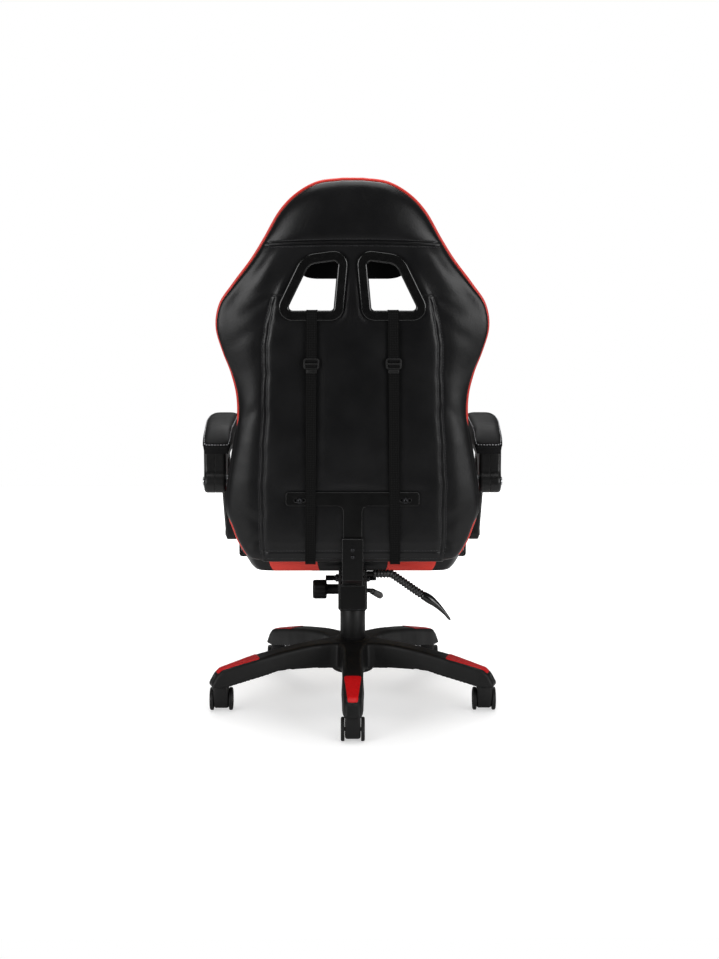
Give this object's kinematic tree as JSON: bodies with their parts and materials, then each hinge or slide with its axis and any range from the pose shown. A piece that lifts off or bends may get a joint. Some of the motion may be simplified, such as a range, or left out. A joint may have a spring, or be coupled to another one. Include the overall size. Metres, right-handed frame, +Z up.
{
  "type": "reclining gaming chair",
  "caption": "High-backed reclining swivel chair: winged padded back with cut-outs and strapped pillows, linked armrests, gas lift, star base on casters.",
  "frame": {"origin": "on the floor under the swivel axis, at the centre of the footprint", "axes": "+Z up along the swivel axis, the sitter faces -Y, the sitter's left is +X"},
  "size_m": [0.6248, 0.6476, 1.1414],
  "materials": {
    "black_leather": "satin synthetic leather with a fine grain",
    "seat_leather": "satin synthetic leather, black with red panels",
    "black_nylon": "moulded, fine texture",
    "gloss_black_plastic": "polished moulding",
    "red_plastic": "semi-gloss moulding",
    "black_painted_steel": "powder coat",
    "bright_steel": "turned",
    "black_rubber": "matt, ribbed",
    "black_webbing": "woven tape",
    "plywood": "raw"
  },
  "bodies": {
    "base": {"star_base": "black_nylon", "leg_insert_1": "red_plastic", "leg_insert_2": "red_plastic", "leg_insert_3": "red_plastic", "leg_insert_4": "red_plastic", "leg_insert_5": "red_plastic", "gas_tube": "black_painted_steel", "guide_bush": "black_nylon", "thrust_bearing": "bright_steel", "cover_lower": "black_nylon"},
    "piston": {"piston_rod": "bright_steel", "retaining_clip": "bright_steel"},
    "carriage": {"gas_column": "bright_steel", "cover_upper": "black_nylon", "tilt_housing": "black_painted_steel", "tilt_pin": "bright_steel", "tilt_spring": "bright_steel"},
    "cover_stage": {"cover_middle": "black_nylon"},
    "seat": {"seat_plate": "black_painted_steel", "recline_pin": "black_painted_steel", "seat_pan": "plywood", "seat_cushion": "seat_leather", "arm_bracket_left": "black_painted_steel", "arm_bracket_right": "black_painted_steel"},
    "backrest": {"back_bracket": "black_painted_steel", "t_bar": "black_painted_steel", "back_frame": "black_painted_steel", "back_cover": "black_leather", "back_cushion": "black_leather", "bezel_left": "gloss_black_plastic", "bezel_right": "gloss_black_plastic", "head_pillow": "black_leather", "lumbar_pillow": "black_leather", "strap_left": "black_webbing", "strap_right": "black_webbing", "buckle_left": "black_nylon", "buckle_right": "black_nylon", "arm_pivot_left": "bright_steel", "arm_pivot_right": "bright_steel"},
    "armrest_left": {"arm_body_left": "black_nylon", "arm_pad_left": "black_leather"},
    "armrest_right": {"arm_body_right": "black_nylon", "arm_pad_right": "black_leather"},
    "link_left": {"arm_link_left": "black_nylon"},
    "link_right": {"arm_link_right": "black_nylon"},
    "recline_handle": {"handle_rod": "black_painted_steel", "handle_sleeve": "black_rubber", "handle_tip": "gloss_black_plastic"},
    "height_lever": {"lift_lever": "black_nylon"},
    "knob": {"tension_knob": "black_nylon"},
    "caster_1": {"caster_body_1": "black_nylon"},
    "caster_2": {"caster_body_2": "black_nylon"},
    "caster_3": {"caster_body_3": "black_nylon"},
    "caster_4": {"caster_body_4": "black_nylon"},
    "caster_5": {"caster_body_5": "black_nylon"},
    "wheels_1": {"caster_wheels_1": "black_nylon"},
    "wheels_2": {"caster_wheels_2": "black_nylon"},
    "wheels_3": {"caster_wheels_3": "black_nylon"},
    "wheels_4": {"caster_wheels_4": "black_nylon"},
    "wheels_5": {"caster_wheels_5": "black_nylon"}
  },
  "joints": [
    {"name": "swivel", "type": "hinge", "parent": "base", "child": "piston", "pos_m": [0, 0, 0.142], "axis": [0, 0, 1], "continuous": true},
    {"name": "lift", "type": "slide", "parent": "piston", "child": "carriage", "axis": [0, 0, 1], "range_m": [0, 0.07]},
    {"name": "cover_slide", "type": "slide", "parent": "piston", "child": "cover_stage", "axis": [0, 0, 1], "range_m": [0, 0.035]},
    {"name": "tilt", "type": "hinge", "parent": "carriage", "child": "seat", "pos_m": [0, -0.07, 0.297], "axis": [-1, 0, 0], "range_deg": [0, 12], "stiffness_Nm_per_rad": 180, "springref_deg": -17.19, "deforming": ["tilt_spring"]},
    {"name": "recline", "type": "hinge", "parent": "seat", "child": "backrest", "pos_m": [0, 0.195, 0.322], "axis": [-1, 0, 0], "range_deg": [0, 40]},
    {"name": "arm_pivot_left_turn", "type": "hinge", "parent": "backrest", "child": "armrest_left", "pos_m": [0.284, 0.165, 0.521], "axis": [-1, 0, 0], "range_deg": [-40, 0]},
    {"name": "arm_pivot_right_turn", "type": "hinge", "parent": "backrest", "child": "armrest_right", "pos_m": [-0.284, 0.165, 0.521], "axis": [-1, 0, 0], "range_deg": [-40, 0]},
    {"name": "link_left_turn", "type": "hinge", "parent": "seat", "child": "link_left", "pos_m": [0.261, -0.03, 0.372], "axis": [-1, 0, 0], "range_deg": [0, 40]},
    {"name": "link_right_turn", "type": "hinge", "parent": "seat", "child": "link_right", "pos_m": [-0.261, -0.03, 0.372], "axis": [-1, 0, 0], "range_deg": [0, 40]},
    {"name": "handle_turn", "type": "hinge", "parent": "seat", "child": "recline_handle", "pos_m": [-0.06, 0.212, 0.335], "axis": [1, 0, 0], "range_deg": [0, 20], "stiffness_Nm_per_rad": 1.5, "springref_deg": -17.19},
    {"name": "lever_turn", "type": "hinge", "parent": "carriage", "child": "height_lever", "pos_m": [-0.0315, -0.026, 0.2405], "axis": [-1, 0, 0], "range_deg": [0, 6], "stiffness_Nm_per_rad": 1.5, "springref_deg": -11.46},
    {"name": "knob_turn", "type": "hinge", "parent": "carriage", "child": "knob", "pos_m": [0.06, -0.045, 0.239], "axis": [1, 0, 0], "range_deg": [-360, 360]},
    {"name": "caster_swivel_1", "type": "hinge", "parent": "base", "child": "caster_1", "pos_m": [0, 0.3, 0.07], "axis": [0, 0, 1], "continuous": true},
    {"name": "caster_swivel_2", "type": "hinge", "parent": "base", "child": "caster_2", "pos_m": [-0.28532, 0.0927, 0.07], "axis": [0, 0, 1], "continuous": true},
    {"name": "caster_swivel_3", "type": "hinge", "parent": "base", "child": "caster_3", "pos_m": [-0.17634, -0.24271, 0.07], "axis": [0, 0, 1], "continuous": true},
    {"name": "caster_swivel_4", "type": "hinge", "parent": "base", "child": "caster_4", "pos_m": [0.17634, -0.24271, 0.07], "axis": [0, 0, 1], "continuous": true},
    {"name": "caster_swivel_5", "type": "hinge", "parent": "base", "child": "caster_5", "pos_m": [0.28532, 0.0927, 0.07], "axis": [0, 0, 1], "continuous": true},
    {"name": "wheel_spin_1", "type": "hinge", "parent": "caster_1", "child": "wheels_1", "pos_m": [0, 0.286, 0.025], "axis": [1, 0, 0], "continuous": true},
    {"name": "wheel_spin_2", "type": "hinge", "parent": "caster_2", "child": "wheels_2", "pos_m": [-0.28532, 0.0787, 0.025], "axis": [1, 0, 0], "continuous": true},
    {"name": "wheel_spin_3", "type": "hinge", "parent": "caster_3", "child": "wheels_3", "pos_m": [-0.17634, -0.25671, 0.025], "axis": [1, 0, 0], "continuous": true},
    {"name": "wheel_spin_4", "type": "hinge", "parent": "caster_4", "child": "wheels_4", "pos_m": [0.17634, -0.25671, 0.025], "axis": [1, 0, 0], "continuous": true},
    {"name": "wheel_spin_5", "type": "hinge", "parent": "caster_5", "child": "wheels_5", "pos_m": [0.28532, 0.0787, 0.025], "axis": [1, 0, 0], "continuous": true}
  ],
  "couplings": [
    {"joint": "cover_slide", "follows": "lift", "ratio": 0.5},
    {"joint": "arm_pivot_left_turn", "follows": "recline", "ratio": -1},
    {"joint": "arm_pivot_right_turn", "follows": "recline", "ratio": -1},
    {"joint": "link_left_turn", "follows": "recline", "ratio": 1},
    {"joint": "link_right_turn", "follows": "recline", "ratio": 1}
  ]
}
